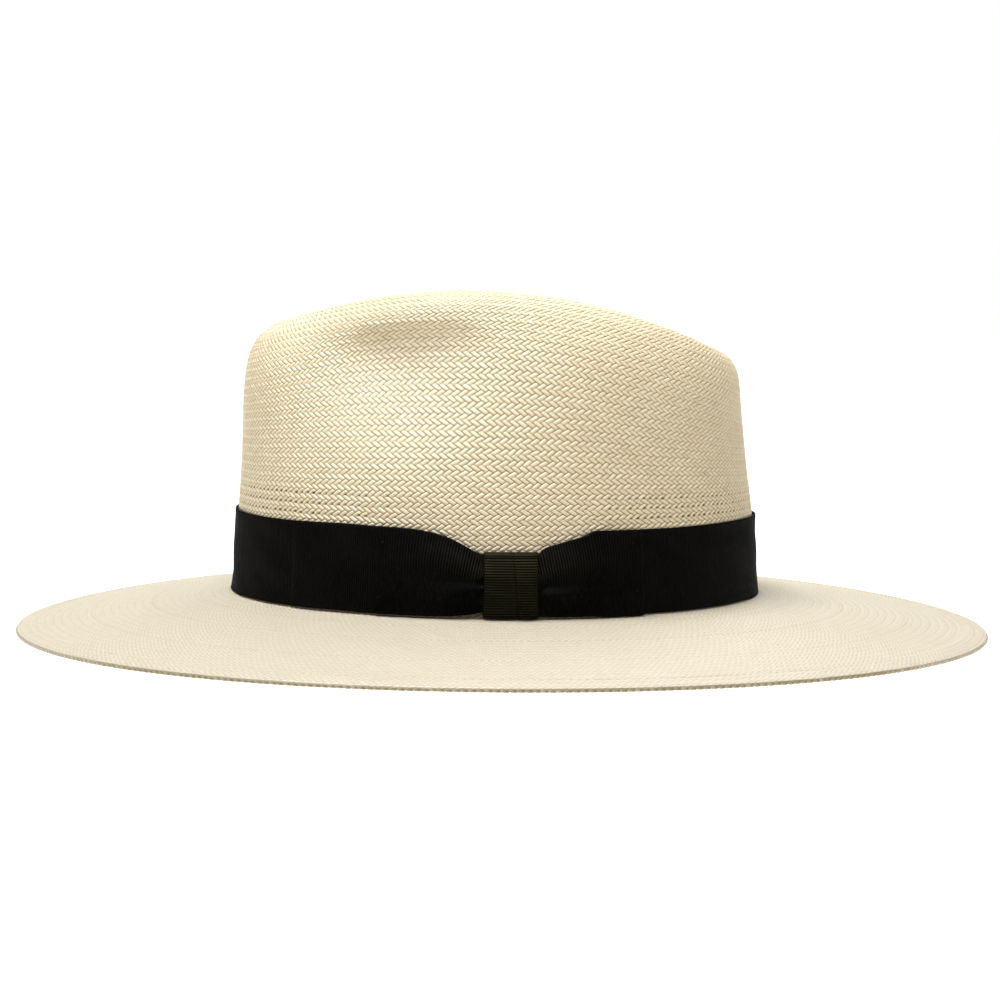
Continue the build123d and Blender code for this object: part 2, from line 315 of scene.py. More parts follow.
def float_layout(across, up, sub):
    """For lattice places (across, up): the float there, as its lean, its straw and its start on the straw,
    and the place's own coordinates on it, 0 to 2 along and 0 to 1 across.

    Straws run both ways on the diagonal. Each passes over two straws and under two, stepped so that floats of
    one lean make a row and floats of the other lean make the next: a herringbone."""
    first, second = (across + up) // 2, (across - up) // 2
    p, q = first // sub, second // sub
    fp, fq = steepened(first / sub) - p, steepened(second / sub) - q
    phase = (p - q) % 4
    leans_right = phase < 2
    along = np.where(leans_right, phase + fp, 3 - phase + fq)
    width = np.where(leans_right, fq, fp)
    straw = np.where(leans_right, q, p)
    start = np.where(leans_right, p - phase, q - (3 - phase))
    return leans_right, straw, start - straw, along, width


def hole_sizes(first, second, count, random):
    """Uneven small openings where the end of a float meets its neighbours, 0 away from them; each is a dent
    that the straw material paints with shade.
    """
    near_first, near_second = np.rint(first).astype(int), np.rint(second).astype(int)
    off_corner = (first - near_first) ** 2 + (second - near_second) ** 2
    corner = (near_first - near_second) % 4 == 0
    uneven = random.uniform(0.25, 1.1, (count, 16))
    return 2.2 * uneven[near_first % count, near_second % 16] * corner * np.exp(-off_corner / 0.07)


def diamond_faces(index):
    """Faces of the weave's lattice: a diamond on each place it skips, then triangles along both edges."""
    levels, columns = index.shape[0] - 1, index.shape[1]
    k, j = np.indices(index.shape)
    right = np.roll(index, -1, axis=1)
    above = index[np.minimum(k + 1, levels), (j + k % 2) % columns]
    below = index[np.maximum(k - 1, 0), (j + k % 2) % columns]
    diamonds = np.stack([index, below, right, above], axis=-1)[1:-1].reshape(-1, 4)
    bottom = np.stack([index, right, above], axis=-1)[0]
    top = np.stack([index, below, right], axis=-1)[levels]
    return [diamonds, bottom, top]


def by_face(grid):
    """Values of a lattice grid in the order of the lattice's faces."""
    return np.concatenate([grid[1:-1].ravel(), grid[0], grid[-1]])


def strip_map(across, up, strips):
    """Flat map of the lattice's faces, cut into strips that lie above each other."""
    levels, columns = up.shape[0] - 1, up.shape[1]
    blocks = [(slice(1, levels), [(0, 0), (1, -1), (2, 0), (1, 1)]),
              (slice(0, 1), [(0, 0), (2, 0), (1, 1)]),
              (slice(levels, None), [(0, 0), (1, -1), (2, 0)])]
    flat = []
    for block, corners in blocks:
        strip = np.minimum((across[block] + 1) * strips // (2 * columns), strips - 1)
        places = []
        for right, above in corners:
            x = (across[block] + right) / (2 * columns) * strips - strip
            y = (up[block] + above) / levels
            places.append(np.stack([x * 0.985 + 0.007, (strip + y * 0.98 + 0.01) / strips], axis=-1))
        flat.append(np.stack(places, axis=2).reshape(-1, 2))
    return np.concatenate(flat)


def woven_sheet(name, place, count, rows, sub, rise, strips, look, replaced, seed, holes=None, shade=None,
                painted_shade_lift=None):
    """Sheet of herringbone weave with every straw as real relief.

    place(u, v) gives points, with u once round from 0 to 1 and v from 0 to 1 across the sheet. count is the
    number of floats round it, rows that of herringbone rows, sub the mesh cells along one straw crossing.
    holes, and the lift of the hem's painted shade, are functions of the turn and v; shade, a painted shade,
    is one of v."""
    columns = count * sub
    levels = rows * 2 * sub
    up = np.arange(levels + 1)[:, None] + np.zeros((1, columns), int)
    across = 2 * np.arange(columns)[None, :] + (up % 2)
    edge = (up == 0) | (up == levels)
    first, second = steepened((across + up) / 2 / sub), steepened((across - up) / 2 / sub)
    u = (first + second) / (2 * count)
    v = np.where(edge, up / levels, (first - second) * sub / levels)
    turn = 2 * np.pi * u
    # the straws wander a little, and rows are not perfectly even
    ends = smooth(v, 0, 0.02) * (1 - smooth(v, 0.98, 1))
    u_wander = u + soft_noise(turn * 3, up / sub, seed) * 0.06 / count * ends
    v_wander = v + soft_noise(turn * 5, up / sub * 2, seed + 1) * 0.07 / rows * ends
    points = place(u_wander, v_wander)
    normals = surface_normals(place, u_wander, v_wander, 0.3 / columns, 0.5 / levels)
    leans, straw, start, along, width = float_layout(across, up, sub)
    leaning, number, begun = leans.astype(int), straw % count, start + 2 * rows + 4
    random = np.random.default_rng(seed)
    uneven = random.normal(0, 1, (2, count, 4 * rows + 8))
    straw_tone = random.normal(0, 1, (2, count))
    # depth is high on a float's top and low in its gaps; the straw material paints shade where it is low
    cushion = (1 - 0.62 * np.abs(along - 1) ** 8) * (1 - np.abs(2 * width - 1) ** 5)
    lifted = cushion * (1 + 0.06 * uneven[leaning, number, begun])
    height = np.where(edge, -0.6 * rise, rise * (lifted - 0.6))
    depth = np.where(edge, 0.3, cushion)
    # shade lowers depth, which the straw material turns into painted shade
    if shade is not None:
        depth = depth * shade(v)
    # an opening is a dent in the mesh whose dark is painted shade, through depth below zero
    if holes is not None:
        opened = hole_sizes(first, second, count, random) * holes(turn, v)
        height = height - 0.9 * rise * opened
        depth = depth - opened
    index = np.arange((levels + 1) * columns).reshape(levels + 1, columns)
    points = (points + normals * height[..., None]).reshape(-1, 3)
    piece = new_piece(name, points, diamond_faces(index), look, "straw", replaced)
    # one tone for each straw and a smaller one for each float, the same over the whole float
    tone = 0.5 + 0.05 * straw_tone[leaning, number] + 0.05 * uneven[1 - leaning, number, begun]
    # the lift raises the tone where the hem's painted shade does not fall
    if painted_shade_lift is not None:
        tone = tone + painted_shade_lift(turn, v)
    add_attribute(piece, "tone", "FACE", by_face(tone))
    add_attribute(piece, "depth", "POINT", depth)
    layer = piece.data.uv_layers.new(name="OFBake")
    layer.data.foreach_set("uv", strip_map(across, up, strips).ravel().astype(np.float32))


def thick_sheet(points, thickness, closed, relief=None):
    """Closed mesh from a grid of points: its front face carries the relief, its back face is plain.

    The first grid direction goes along the strip and is joined up when closed."""
    wrap = np.concatenate([points[-1:], points, points[:1]]) if closed else points
    along = np.gradient(wrap, axis=0)
    if closed:
        along = along[1:-1]
    across = np.gradient(points, axis=1)
    normal = np.cross(along, across)
    normal /= np.maximum(np.linalg.norm(normal, axis=-1, keepdims=True), 1e-9)
    raised = np.zeros(points.shape[:2]) if relief is None else relief
    front = points + normal * (thickness / 2 + raised)[..., None]
    back = points - normal * thickness / 2
    n, m = points.shape[:2]
    vertices = np.concatenate([front.reshape(-1, 3), back.reshape(-1, 3)])
    index = np.arange(n * m).reshape(n, m)
    following = np.roll(index, -1, axis=0) if closed else index[1:]
    present = index if closed else index[:-1]
    quads = np.stack([present[:, :-1], following[:, :-1], following[:, 1:], present[:, 1:]], axis=-1)
    quads = quads.reshape(-1, 4)
    faces = [quads, quads[:, ::-1] + n * m]
    rims = [(present[:, 0], following[:, 0], 1), (present[:, -1], following[:, -1], -1)]
    if not closed:
        rims += [(index[0, :-1], index[0, 1:], -1), (index[-1, :-1], index[-1, 1:], 1)]
    for near, far, order in rims:
        faces.append(np.stack([near, near + n * m, far + n * m, far], axis=-1)[:, ::order])
    return vertices, faces


def add_rib_heights(piece, *reliefs):
    """Share of the full rib height at each point of joined thick sheets, whose back faces are plain."""
    shares = [np.concatenate([relief.ravel() / RIB_RISE, np.zeros(relief.size)]) for relief in reliefs]
    add_attribute(piece, "rib", "POINT", np.concatenate(shares))


def join_parts(parts):
    """Several (vertices, faces) as one."""
    vertices, faces, count = [], [], 0
    for part_vertices, part_faces in parts:
        vertices.append(part_vertices)
        faces += [np.asarray(block) + count for block in part_faces]
        count += len(part_vertices)
    return np.concatenate(vertices), faces


def ribs(columns, per_rib, rise):
    """Relief of grosgrain ribs along a strip of mesh columns."""
    return rise * (0.5 - 0.5 * np.cos(2 * np.pi * np.arange(columns) / per_rib))


def stitch(start, end, lift, radius, normal):
    """One stitch: a short rounded thread from start to end that bows out along normal."""
    sides, rings = 6, 7
    along = (end - start) / np.linalg.norm(end - start)
    across = np.cross(normal, along)
    share = np.linspace(0, 1, rings)
    middle = start + (end - start) * share[:, None] + normal * (lift * np.sin(np.pi * share))[:, None]
    size = radius * (0.35 + 0.65 * np.sin(np.pi * share) ** 0.4)
    turn = 2 * np.pi * np.arange(sides) / sides
    circle = np.cos(turn)[None, :, None] * across + np.sin(turn)[None, :, None] * normal
    vertices = (middle[:, None] + circle * size[:, None, None]).reshape(-1, 3)
    index = np.arange(rings * sides).reshape(rings, sides)
    following = np.roll(index, -1, axis=1)
    quads = np.stack([index[:-1], index[1:], following[1:], following[:-1]], axis=-1).reshape(-1, 4)
    caps = np.stack([index[0], index[-1][::-1]])
    return vertices, [quads, caps]


def stitch_line(points, normals, length_share, lift, radius):
    """Row of stitches along points, one between each pair, each covering length_share of the step."""
    parts = []
    for start, end, normal in zip(points[:-1], points[1:], normals[:-1]):
        gap = (end - start) * (1 - length_share) / 2
        parts.append(stitch(start + gap, end - gap, lift, radius, normal))
    return join_parts(parts)


# ---------- materials

def material(name):
    """New node material: itself, its node tree and its main shader."""
    made = bpy.data.materials.new(name)
    made.use_nodes = True
    return made, made.node_tree, made.node_tree.nodes["Principled BSDF"]


def node(tree, kind, **settings):
    made = tree.nodes.new(kind)
    for key, value in settings.items():
        setattr(made, key, value)
    return made


def attribute(tree, name):
    return node(tree, "ShaderNodeAttribute", attribute_name=name).outputs["Fac"]


def object_place(tree):
    return node(tree, "ShaderNodeTexCoord").outputs["Object"]


def ramp(tree, value, stops):
    """Colour at value on a ramp through (place, colour) stops."""
    made = node(tree, "ShaderNodeValToRGB")
    elements = made.color_ramp.elements
    while len(elements) < len(stops):
        elements.new(0.5)
    for element, (place, colour) in zip(elements, stops):
        element.position = place
        element.color = (*colour, 1)
    tree.links.new(value, made.inputs["Fac"])
    return made.outputs["Color"]


def noise(tree, scale, detail=3.0, stretch=(1, 1, 1)):
    """Noise in the hat's own coordinates; scale is cycles per metre."""
    mapping = node(tree, "ShaderNodeMapping")
    mapping.inputs["Scale"].default_value = stretch
    made = node(tree, "ShaderNodeTexNoise")
    made.inputs["Scale"].default_value = scale
    made.inputs["Detail"].default_value = detail
    tree.links.new(object_place(tree), mapping.inputs["Vector"])
    tree.links.new(mapping.outputs["Vector"], made.inputs["Vector"])
    return made.outputs["Fac"]


def mix(tree, share, first, second):
    """Mix of two colours, each a socket or a plain colour."""
    made = node(tree, "ShaderNodeMix", data_type="RGBA")
    wanted = {"Factor": share, "A": first, "B": second}
    for socket in made.inputs:
        if socket.enabled and socket.name in wanted:
            value = wanted[socket.name]
            if isinstance(value, tuple):
                socket.default_value = (*value, 1)
            else:
                tree.links.new(value, socket)
    return next(socket for socket in made.outputs if socket.enabled)


def scaled(tree, value, low, high, to_low=0.0, to_high=1.0):
    """Value mapped from one range to another, clamped."""
    made = node(tree, "ShaderNodeMapRange")
    tree.links.new(value, made.inputs["Value"])
    for name, number in (("From Min", low), ("From Max", high), ("To Min", to_low), ("To Max", to_high)):
        made.inputs[name].default_value = number
    return made.outputs["Result"]


def bump(tree, shader, height, strength, distance):
    made = node(tree, "ShaderNodeBump")
    made.inputs["Strength"].default_value = strength
    made.inputs["Distance"].default_value = distance
    tree.links.new(height, made.inputs["Height"])
    tree.links.new(made.outputs["Normal"], shader.inputs["Normal"])


def paint(tree, shader, colour, roughness):
    tree.links.new(colour, shader.inputs["Base Color"])
    tree.links.new(roughness, shader.inputs["Roughness"])


def straw_material(name, dark, mid, pale, valley, shine):
    """Split palm straw: each float has its own tone, with painted shade in the gaps between and a fine fibre
    grain.
    """
    made, tree, shader = material(name)
    depth = attribute(tree, "depth")
    fibre = noise(tree, 1400, 2.0, (1, 1, 0.35))
    patches = noise(tree, 26, 2.0)
    toned = ramp(tree, attribute(tree, "tone"), [(0.0, dark), (0.5, mid), (1.0, pale)])
    patchy = mix(tree, scaled(tree, patches, 0.3, 0.7, 0.0, 0.16), toned, dark)
    grained = mix(tree, scaled(tree, fibre, 0.35, 0.7, 0.0, 0.22), patchy, pale)
    # painted shade: where depth is low, in the gaps between floats, the colour goes toward the valley colour
    shaded = mix(tree, scaled(tree, depth, 0.0, 0.80), valley, grained)
    # painted shade: where depth falls below zero, at the openings, the colour is the near black seen through
    # a hole
    opened = mix(tree, scaled(tree, depth, -0.9, -0.15), (0.05, 0.03, 0.015), shaded)
    paint(tree, shader, opened, scaled(tree, fibre, 0.3, 0.7, 0.41, 0.56))
    shader.inputs["Specular IOR Level"].default_value = shine
    bump(tree, shader, fibre, 0.25, 0.0003)
    return made


def ribbon_material(name, colour, bright, grain_stretch):
    """Grosgrain ribbon: fine threads over the ribs, nearly black, with a faint sheen painted on their tops.
    """
    made, tree, shader = material(name)
    threads = noise(tree, 2600, 2.0, grain_stretch)
    wear = noise(tree, 45, 3.0)
    worn = mix(tree, scaled(tree, wear, 0.35, 0.75, 0.0, 0.08), colour, bright)
    # painted highlight: the colour goes toward bright on the tops of tall ribs, by the rib attribute
    painted_rib_sheen = mix(tree, scaled(tree, attribute(tree, "rib"), 0.65, 1.85), worn, bright)
    fine = mix(tree, scaled(tree, threads, 0.45, 0.8, 0.0, 0.14), painted_rib_sheen, bright)
    paint(tree, shader, fine, scaled(tree, threads, 0.3, 0.7, 0.30, 0.45))
    shader.inputs["Specular IOR Level"].default_value = 0.012
    bump(tree, shader, threads, 0.3, 0.0002)
    return made


def thread_material(name, dark, pale, shine):
    """Sewing thread with a fine twist."""
    made, tree, shader = material(name)
    twist = noise(tree, 1800, 2.0, (1, 1, 2.5))
    colour = mix(tree, scaled(tree, twist, 0.35, 0.7), dark, pale)
    paint(tree, shader, colour, scaled(tree, twist, 0.3, 0.7, 0.55, 0.8))
    shader.inputs["Specular IOR Level"].default_value = shine
    bump(tree, shader, twist, 0.4, 0.0002)
    return made


def leather_material(name):
    """Smooth tan sweatband leather: pebbled grain, slightly darker where it has been touched."""
    made, tree, shader = material(name)
    cells = node(tree, "ShaderNodeTexVoronoi", feature="DISTANCE_TO_EDGE")
    cells.inputs["Scale"].default_value = 900
    tree.links.new(object_place(tree), cells.inputs["Vector"])
    creases = scaled(tree, cells.outputs["Distance"], 0.0, 0.12)
    cloud = noise(tree, 30, 4.0)
    tans = ramp(tree, cloud, [(0.3, (0.235, 0.115, 0.048)), (0.5, (0.33, 0.175, 0.080)),
                              (0.72, (0.42, 0.245, 0.125))])
    colour = mix(tree, creases, (0.16, 0.075, 0.03), tans)
    paint(tree, shader, colour, scaled(tree, cloud, 0.3, 0.7, 0.38, 0.55))
    shader.inputs["Specular IOR Level"].default_value = 0.45
    bump(tree, shader, creases, 0.35, 0.0003)
    return made


def reed_material(name):
    """Cloudy pale plastic."""
    made, tree, shader = material(name)
    haze = noise(tree, 300, 3.0)
    colour = mix(tree, haze, (0.55, 0.48, 0.36), (0.72, 0.66, 0.54))
    paint(tree, shader, colour, scaled(tree, haze, 0.3, 0.7, 0.35, 0.5))
    return made


def label_material(name):
    """Blank woven label."""
    made, tree, shader = material(name)
    weave = node(tree, "ShaderNodeTexWave", bands_direction="Z")
    weave.inputs["Scale"].default_value = 900
    tree.links.new(object_place(tree), weave.inputs["Vector"])
    lines = weave.outputs["Fac"]
    colour = mix(tree, lines, (0.62, 0.60, 0.54), (0.74, 0.73, 0.68))
    paint(tree, shader, colour, scaled(tree, lines, 0, 1, 0.65, 0.8))
    bump(tree, shader, lines, 0.4, 0.0001)
    return made


# valley is the painted shade of the gaps between floats
CROWN_STRAW = straw_material("crown straw", dark=(0.46, 0.367, 0.20), mid=(0.61, 0.512, 0.33),
                             pale=(0.745, 0.665, 0.48), valley=(0.10, 0.062, 0.024), shine=0.6)
BRIM_STRAW = straw_material("brim straw", dark=(0.443, 0.392, 0.289), mid=(0.512, 0.461, 0.362),
                            pale=(0.574, 0.536, 0.441), valley=(0.37, 0.307, 0.205), shine=0.45)
# the hem's dark and mid tones are painted shade for its rolled edge, which faces down; its pale tone is close
# to the brim's straw
HEM_STRAW_PAINTED_SHADE = straw_material("hem straw painted shade", dark=(0.19, 0.153, 0.08), mid=(0.265, 0.222, 0.118),
                           pale=(0.52, 0.47, 0.37), valley=(0.12, 0.085, 0.04), shine=0.3)
RIBBON_BLACK = ribbon_material("black grosgrain", (0.0007, 0.0006, 0.0006), (0.0240, 0.0218, 0.0180),
                               (1, 1, 0.15))
KNOT_BLACK = ribbon_material("knot grosgrain", (0.0010, 0.0009, 0.0004), (0.034, 0.0318, 0.0155),
                             (0.5, 0.15, 1))
BLACK_THREAD = thread_material("black thread", (0.002, 0.002, 0.002), (0.008, 0.0076, 0.007), 0.04)
STRAW_THREAD = thread_material("straw thread", (0.50, 0.41, 0.26), (0.62, 0.53, 0.37), 0.3)
LEATHER_TAN = leather_material("sweatband leather")
REED_LOOK = reed_material("reed plastic")
LABEL_LOOK = label_material("blank label")


# ---------- woven straw

def profile_lengths(low, high):
    """Distances up the crown's profile to two levels."""
    return np.interp([low, high], CROWN_LEVELS, CROWN_LENGTHS)


def crown_place(low, high, inside=False):
    """Place function for the crown between two levels; inside turns it over, one straw deeper."""
    start, end = profile_lengths(low, high)

    def outer(u, v):
        along = start + (end - start) * v
        return crown_point(even_angles(u), np.interp(along, CROWN_LENGTHS, CROWN_LEVELS))

    def inner(u, v):
        flipped = 1 - v
        normal = surface_normals(outer, u, flipped, 0.002, 0.004)
        return outer(u, flipped) - normal * STRAW

    return inner if inside else outer


def crown_rows(low, high):
    start, end = profile_lengths(low, high)
    return max(2, round((end - start) / ROW_HEIGHT))


def openwork(turn, v):
    """Open rows just above the ribbon, wider toward the front and back of the hat; the openings are dents
    painted with shade.
    """
    toward_ends = 0.12 + 0.95 * smooth(np.abs(np.cos(turn)), 0.25, 0.85)
    height = BREAK_Z + v * np.interp(CREST_LEVEL, CROWN_LEVELS, CROWN_LENGTHS)
    rows = smooth(height, 47, 50) * (1 - smooth(height, 56, 63))
    patchy = 0.8 + 0.3 * soft_noise(turn * 7, height, 31)
    return np.clip(rows * toward_ends * patchy, 0, 1)


def painted_foot_shade(v):
    """Painted shade on the straw at the foot of the wall, where shade falls behind the ribbon's lower edge.
    """
    return 0.12 + 0.88 * smooth(v, 0.018, 0.026)


def make_crown_weave():
    """Outer and inner faces of the crown, in stretches with fewer and fewer floats round."""
    def stretch(name, low, high, count, sub, rise, strips, seed, inside=False, holes=None, shade=None):
        woven_sheet(name, crown_place(low, high, inside), count, crown_rows(low, high), sub, rise, strips,
                    CROWN_STRAW, "straw_crown", seed, holes, shade)

    stretch("crown_side_weave", 0.0, CREST_LEVEL, FLOATS_ROUND, 5, FLOAT_RISE, 3, 11, holes=openwork,
            shade=painted_foot_shade)
    stretch("crown_crest_weave", CREST_LEVEL, 7.6, 152, 3, FLOAT_RISE, 2, 12)
    stretch("crown_dent_weave", 7.6, 8.6, 118, 3, FLOAT_RISE, 2, 13)
    stretch("crown_floor_weave", 8.6, 9.4, 76, 3, FLOAT_RISE, 2, 14)
    stretch("crown_centre_weave", 9.4, 10.0, 44, 3, FLOAT_RISE, 2, 15)
    stretch("crown_inside_weave", 0.0, 8.6, 200, 2, 0.3, 2, 21, True)
    stretch("crown_inside_floor_weave", 8.6, 10.0, 70, 2, 0.3, 1, 22, True)


def make_crown_knotting(inside):
    """Middle of the top, where a hat's weave starts: a small long patch that closes the dent."""
    def outer(u, v):
        ring = crown_point(even_angles(u), np.full(np.shape(u), float(LAST)))
        centre = np.array([0.0, (FRONT[-1] + BACK[-1]) / 2, AMOUNT[-1]])
        shrink = 1 - 0.97 * v[..., None]
        point = centre + (ring - centre) * shrink
        point[..., 2] += 0.4 * v
        return point

    def inner(u, v):
        point = outer(u, 1 - v)
        point[..., 2] -= STRAW
        return point

    name = "crown_inside_middle_weave" if inside else "crown_middle_weave"
    woven_sheet(name, inner if inside else outer, 30, 4, 3, 0.3, 1, CROWN_STRAW, "straw_crown", 24)


def brim_width(t):
    """Plan distance from the break to the edge at angles t."""
    edge = np.stack([BRIM_HALF_WIDTH * np.sin(t), -BRIM_HALF_LENGTH * np.cos(t)], axis=-1)
    return np.linalg.norm(edge - base_point(t)[..., :2], axis=-1)


def edge_section(t, length):
    """Points on the rolled brim edge, length millimetres past where the upper face starts to turn down."""
    turn = np.clip(length / ROLL, 0, np.pi)
    out = np.where(length < 0, length, ROLL * np.sin(turn))
    out = np.where(length > np.pi * ROLL, np.pi * ROLL - length, out)
    point = brim_point(t, 1 + (out - ROLL) / brim_width(t))
    point[..., 2] -= ROLL * (1 - np.cos(turn))
    return point


def brim_over(low, high):
    """Upper face of the brim between two shares of its width; v runs inward so that the relief faces up."""
    def place(u, v):
        t = even_angles(u)
        from_edge = (1 - high + (high - low) * v) * brim_width(t)
        point = edge_section(t, ROLL - from_edge)
        over_hem = (1 - smooth(from_edge, HEM_WIDTH - 0.6, HEM_WIDTH + 0.6)) * smooth(from_edge, 0.6, 5)
        point[..., 2] += HEM_LIFT * over_hem
        return point
    return place


def brim_under(low, high):
    """Under face of the brim."""
    def place(u, v):
        point = brim_point(even_angles(u), low + (high - low) * v)
        point[..., 2] -= STRAW
        return point
    return place


def make_brim_weave():
    """Both faces in rings: straws are added at each ring, so floats keep their size as the brim widens."""
    rings = [(0.0, 0.16, 252), (0.16, 0.38, 300), (0.38, 0.66, 354), (0.66, 0.9965, 420)]
    for number, (low, high, count) in enumerate(rings):
        rows = round((high - low) * BRIM_WIDTH / BRIM_ROW_HEIGHT)
        woven_sheet(f"brim_weave_{number + 1}", brim_over(low, high), count, rows, 3, 0.22, 4, BRIM_STRAW,
                    "straw_brim", 41 + number)
    for number, (low, high, count) in enumerate([(0.0, 0.42, 270), (0.42, 0.93, 380)]):
        rows = round((high - low) * BRIM_WIDTH / UNDERSIDE_ROW_HEIGHT)
        woven_sheet(f"brim_underside_weave_{number + 1}", brim_under(low, high), count, rows, 2, 0.26, 4,
                    BRIM_STRAW, "straw_brim", 51 + number)


def make_hem():
    """Edge of the weave rolled over and turned under the brim."""
    def place(u, v):
        length = ROLL * HEM_START + (ROLL * (np.pi - HEM_START) + HEM_WIDTH) * (1 - v)
        return edge_section(even_angles(u), length)

    def painted_shade_lift(turn, v):
        """Lift of the hem's painted shade: the hem is painted dark only on its rolled edge, where shade
        falls, and less so at the front and back of the hat.
        """
        return 0.5 * np.maximum(1 - smooth(v, 0.74, 0.82), 0.8 * smooth(np.abs(np.cos(turn)), 0.66, 0.9))

    woven_sheet("brim_hem_weave", place, 420, 6, 3, 0.26, 4, HEM_STRAW_PAINTED_SHADE, "brim_hem", 61, painted_shade_lift=painted_shade_lift)


# ---------- ribbon and bow

def left_distance(t):
    """Hat-wise position y at angle t on the wearer's left side; far away on the right side."""
    return np.where(np.sin(t) > 0, hat_y(t), 999.0)


def gathered_top(y, top):
    """Height of a ribbon's upper edge where it is drawn down to the knot, at position y.

    The front loop curves down to the knot; the rear one runs down to it nearly straight."""
    away = np.maximum(np.abs(y - KNOT_Y) - KNOT_HALF_WIDTH, 0)
    front = np.exp(-(away / 12.5) ** 1.35)
    rear = (0.78 - 0.033 * away) * (1 - smooth(away, 17, 20.5)) + 0.22 * np.exp(-away)
    drawn = np.where(y < KNOT_Y, front, rear)
    return top - (top - KNOT_TOP_Z + 0.4) * drawn


def gathered_foot(y, foot):
    """Height of a ribbon's lower edge, which lifts toward the knot, mostly on the front side."""
    away = np.maximum(np.abs(y - KNOT_Y) - KNOT_HALF_WIDTH, 0)
    return foot + np.where(y < KNOT_Y, 1.9 * np.exp(-away / 7), 0.4 * np.exp(-away / 4))


def selvedge(rows):
    """Relief of the woven edges of a ribbon: a thin cord at each side."""
    place = np.linspace(0, 1, rows)
    return 0.10 * (bell(place, 0.018, 0.014) + bell(place, 0.982, 0.014))


def edged(relief, rows):
    """Rib relief with selvedges added; the ribs are lower where they run into them."""
    return relief * (1 - 0.7 * (selvedge(rows) > 0.05)) + selvedge(rows)


def ribbon_rows(count):
    """Shares of a ribbon's width, closer together at its two edges."""
    place = 0.5 - 0.5 * np.cos(np.linspace(0, np.pi, count))
    return 0.55 * place + 0.45 * np.linspace(0, 1, count)


def band_strip(t, out, closed):
    """Part of the hat band at angles t, with its upper edge drawn down at the knot. out is how far its middle
    layer is from the straw."""
    rows = 22
    y = left_distance(t)
    raised = 1.3 - 0.8 * smooth(hat_y(t), -40, 10) + 0.4 * bell(y, -57, 14)
    high = gathered_top(y, BAND_TOP_Z + raised + 0.15 * np.sin(3 * t) + 0.1 * np.sin(7 * t + 1))
    low = gathered_foot(y, BREAK_Z + 0.45 + 0.35 * bell(y, -63, 16))
    share = ribbon_rows(rows)
    z = low[:, None] + (high - low)[:, None] * share
    angle = t[:, None]
    # the lower edge stands off a little, and the cloth is not perfectly flat against the straw
    away = out + 0.35 * np.exp(-share / 0.06) + 0.12 * soft_noise(angle * 2, z * 3, 71)
    away = away + 0.45 * share * np.cos(angle) ** 2
    if not closed:
        away = away - 0.4 * np.exp(-(y - OVERLAP_FRONT_Y) / 1.2)[:, None]
    relief = edged(ribs(len(t), 4, RIB_RISE)[:, None], rows)
    return thick_sheet(wall_point(angle, z, away), BAND_CLOTH, closed, relief), relief


def make_band():
    """Ribbon round the crown, and its outer end, which overlaps it behind the bow."""
    columns = BAND_RIBS * 4
    band, band_relief = band_strip(even_angles(np.arange(columns) / columns), 0.62, True)
    columns = round((OVERLAP_BACK_Y - OVERLAP_FRONT_Y) / RIB_PITCH * 1.12) * 4 + 1
    t = np.linspace(angle_at(OVERLAP_FRONT_Y), angle_at(OVERLAP_BACK_Y), columns)
    overlap, overlap_relief = band_strip(t, 1.28, False)
    piece = new_piece("hat_band_ribbon", *join_parts([band, overlap]), RIBBON_BLACK, "ribbon", "hat_band")
    add_rib_heights(piece, band_relief, overlap_relief)


def loop_reach(side):
    """Distance from the knot's middle to the end of a loop."""
    return abs((LOOP_BACK_Y if side > 0 else LOOP_FRONT_Y) - KNOT_Y)


def loop_leaf(along, share, side, outer):
    """Points on one leaf of a bow loop, in front of the knot (side -1) or behind it (1).

    along is the distance from the knot's middle, share goes up the ribbon's width from 0 to 1."""
    reach = loop_reach(side) - KNOT_HALF_WIDTH
    # the gathers draw the tops of the ribs toward the knot
    fanned = smooth(along, 3, 14) * (1 - smooth((along - KNOT_HALF_WIDTH) / reach, 0.3, 1))
    along = along - 4.4 * fanned * (share - 0.35)
    y = KNOT_Y + side * along
    away = np.maximum(along - KNOT_HALF_WIDTH, 0)
    part = away / reach
    raised = 2.0 - 0.3 * part if side < 0 else 0.8 - 0.2 * part
    high = gathered_top(y, BAND_TOP_Z + raised)
    low = gathered_foot(y, BREAK_Z + 0.8 - 0.6 * smooth(y, 25, 45))
    z = low + (high - low) * share
    if outer:
        # two soft lobes with a valley that opens toward the knot, and finer pleats right beside it
        near = np.exp(-away / 15)
        upper = bell(share, 0.74 - 0.04 * part, 0.17)
        lower = bell(share, 0.24, 0.15)
        valley = bell(share, 0.48 - 0.03 * side, 0.09)
        pleats = 0.35 * np.exp(-away / 5) * np.sin(share * 2 * np.pi * 3.5 + side)
        swell = 1.9 * smooth(away, -2, 9) * (1 - 0.75 * smooth(part, 0.25, 1.0))
        out = 2.75 + swell * (upper + 0.85 * lower) - 1.15 * near * valley + pleats
        out = out - 0.3 * np.exp(-away / 3)
    else:
        out = 1.80
    return wall_point(angle_at(y), z, out)


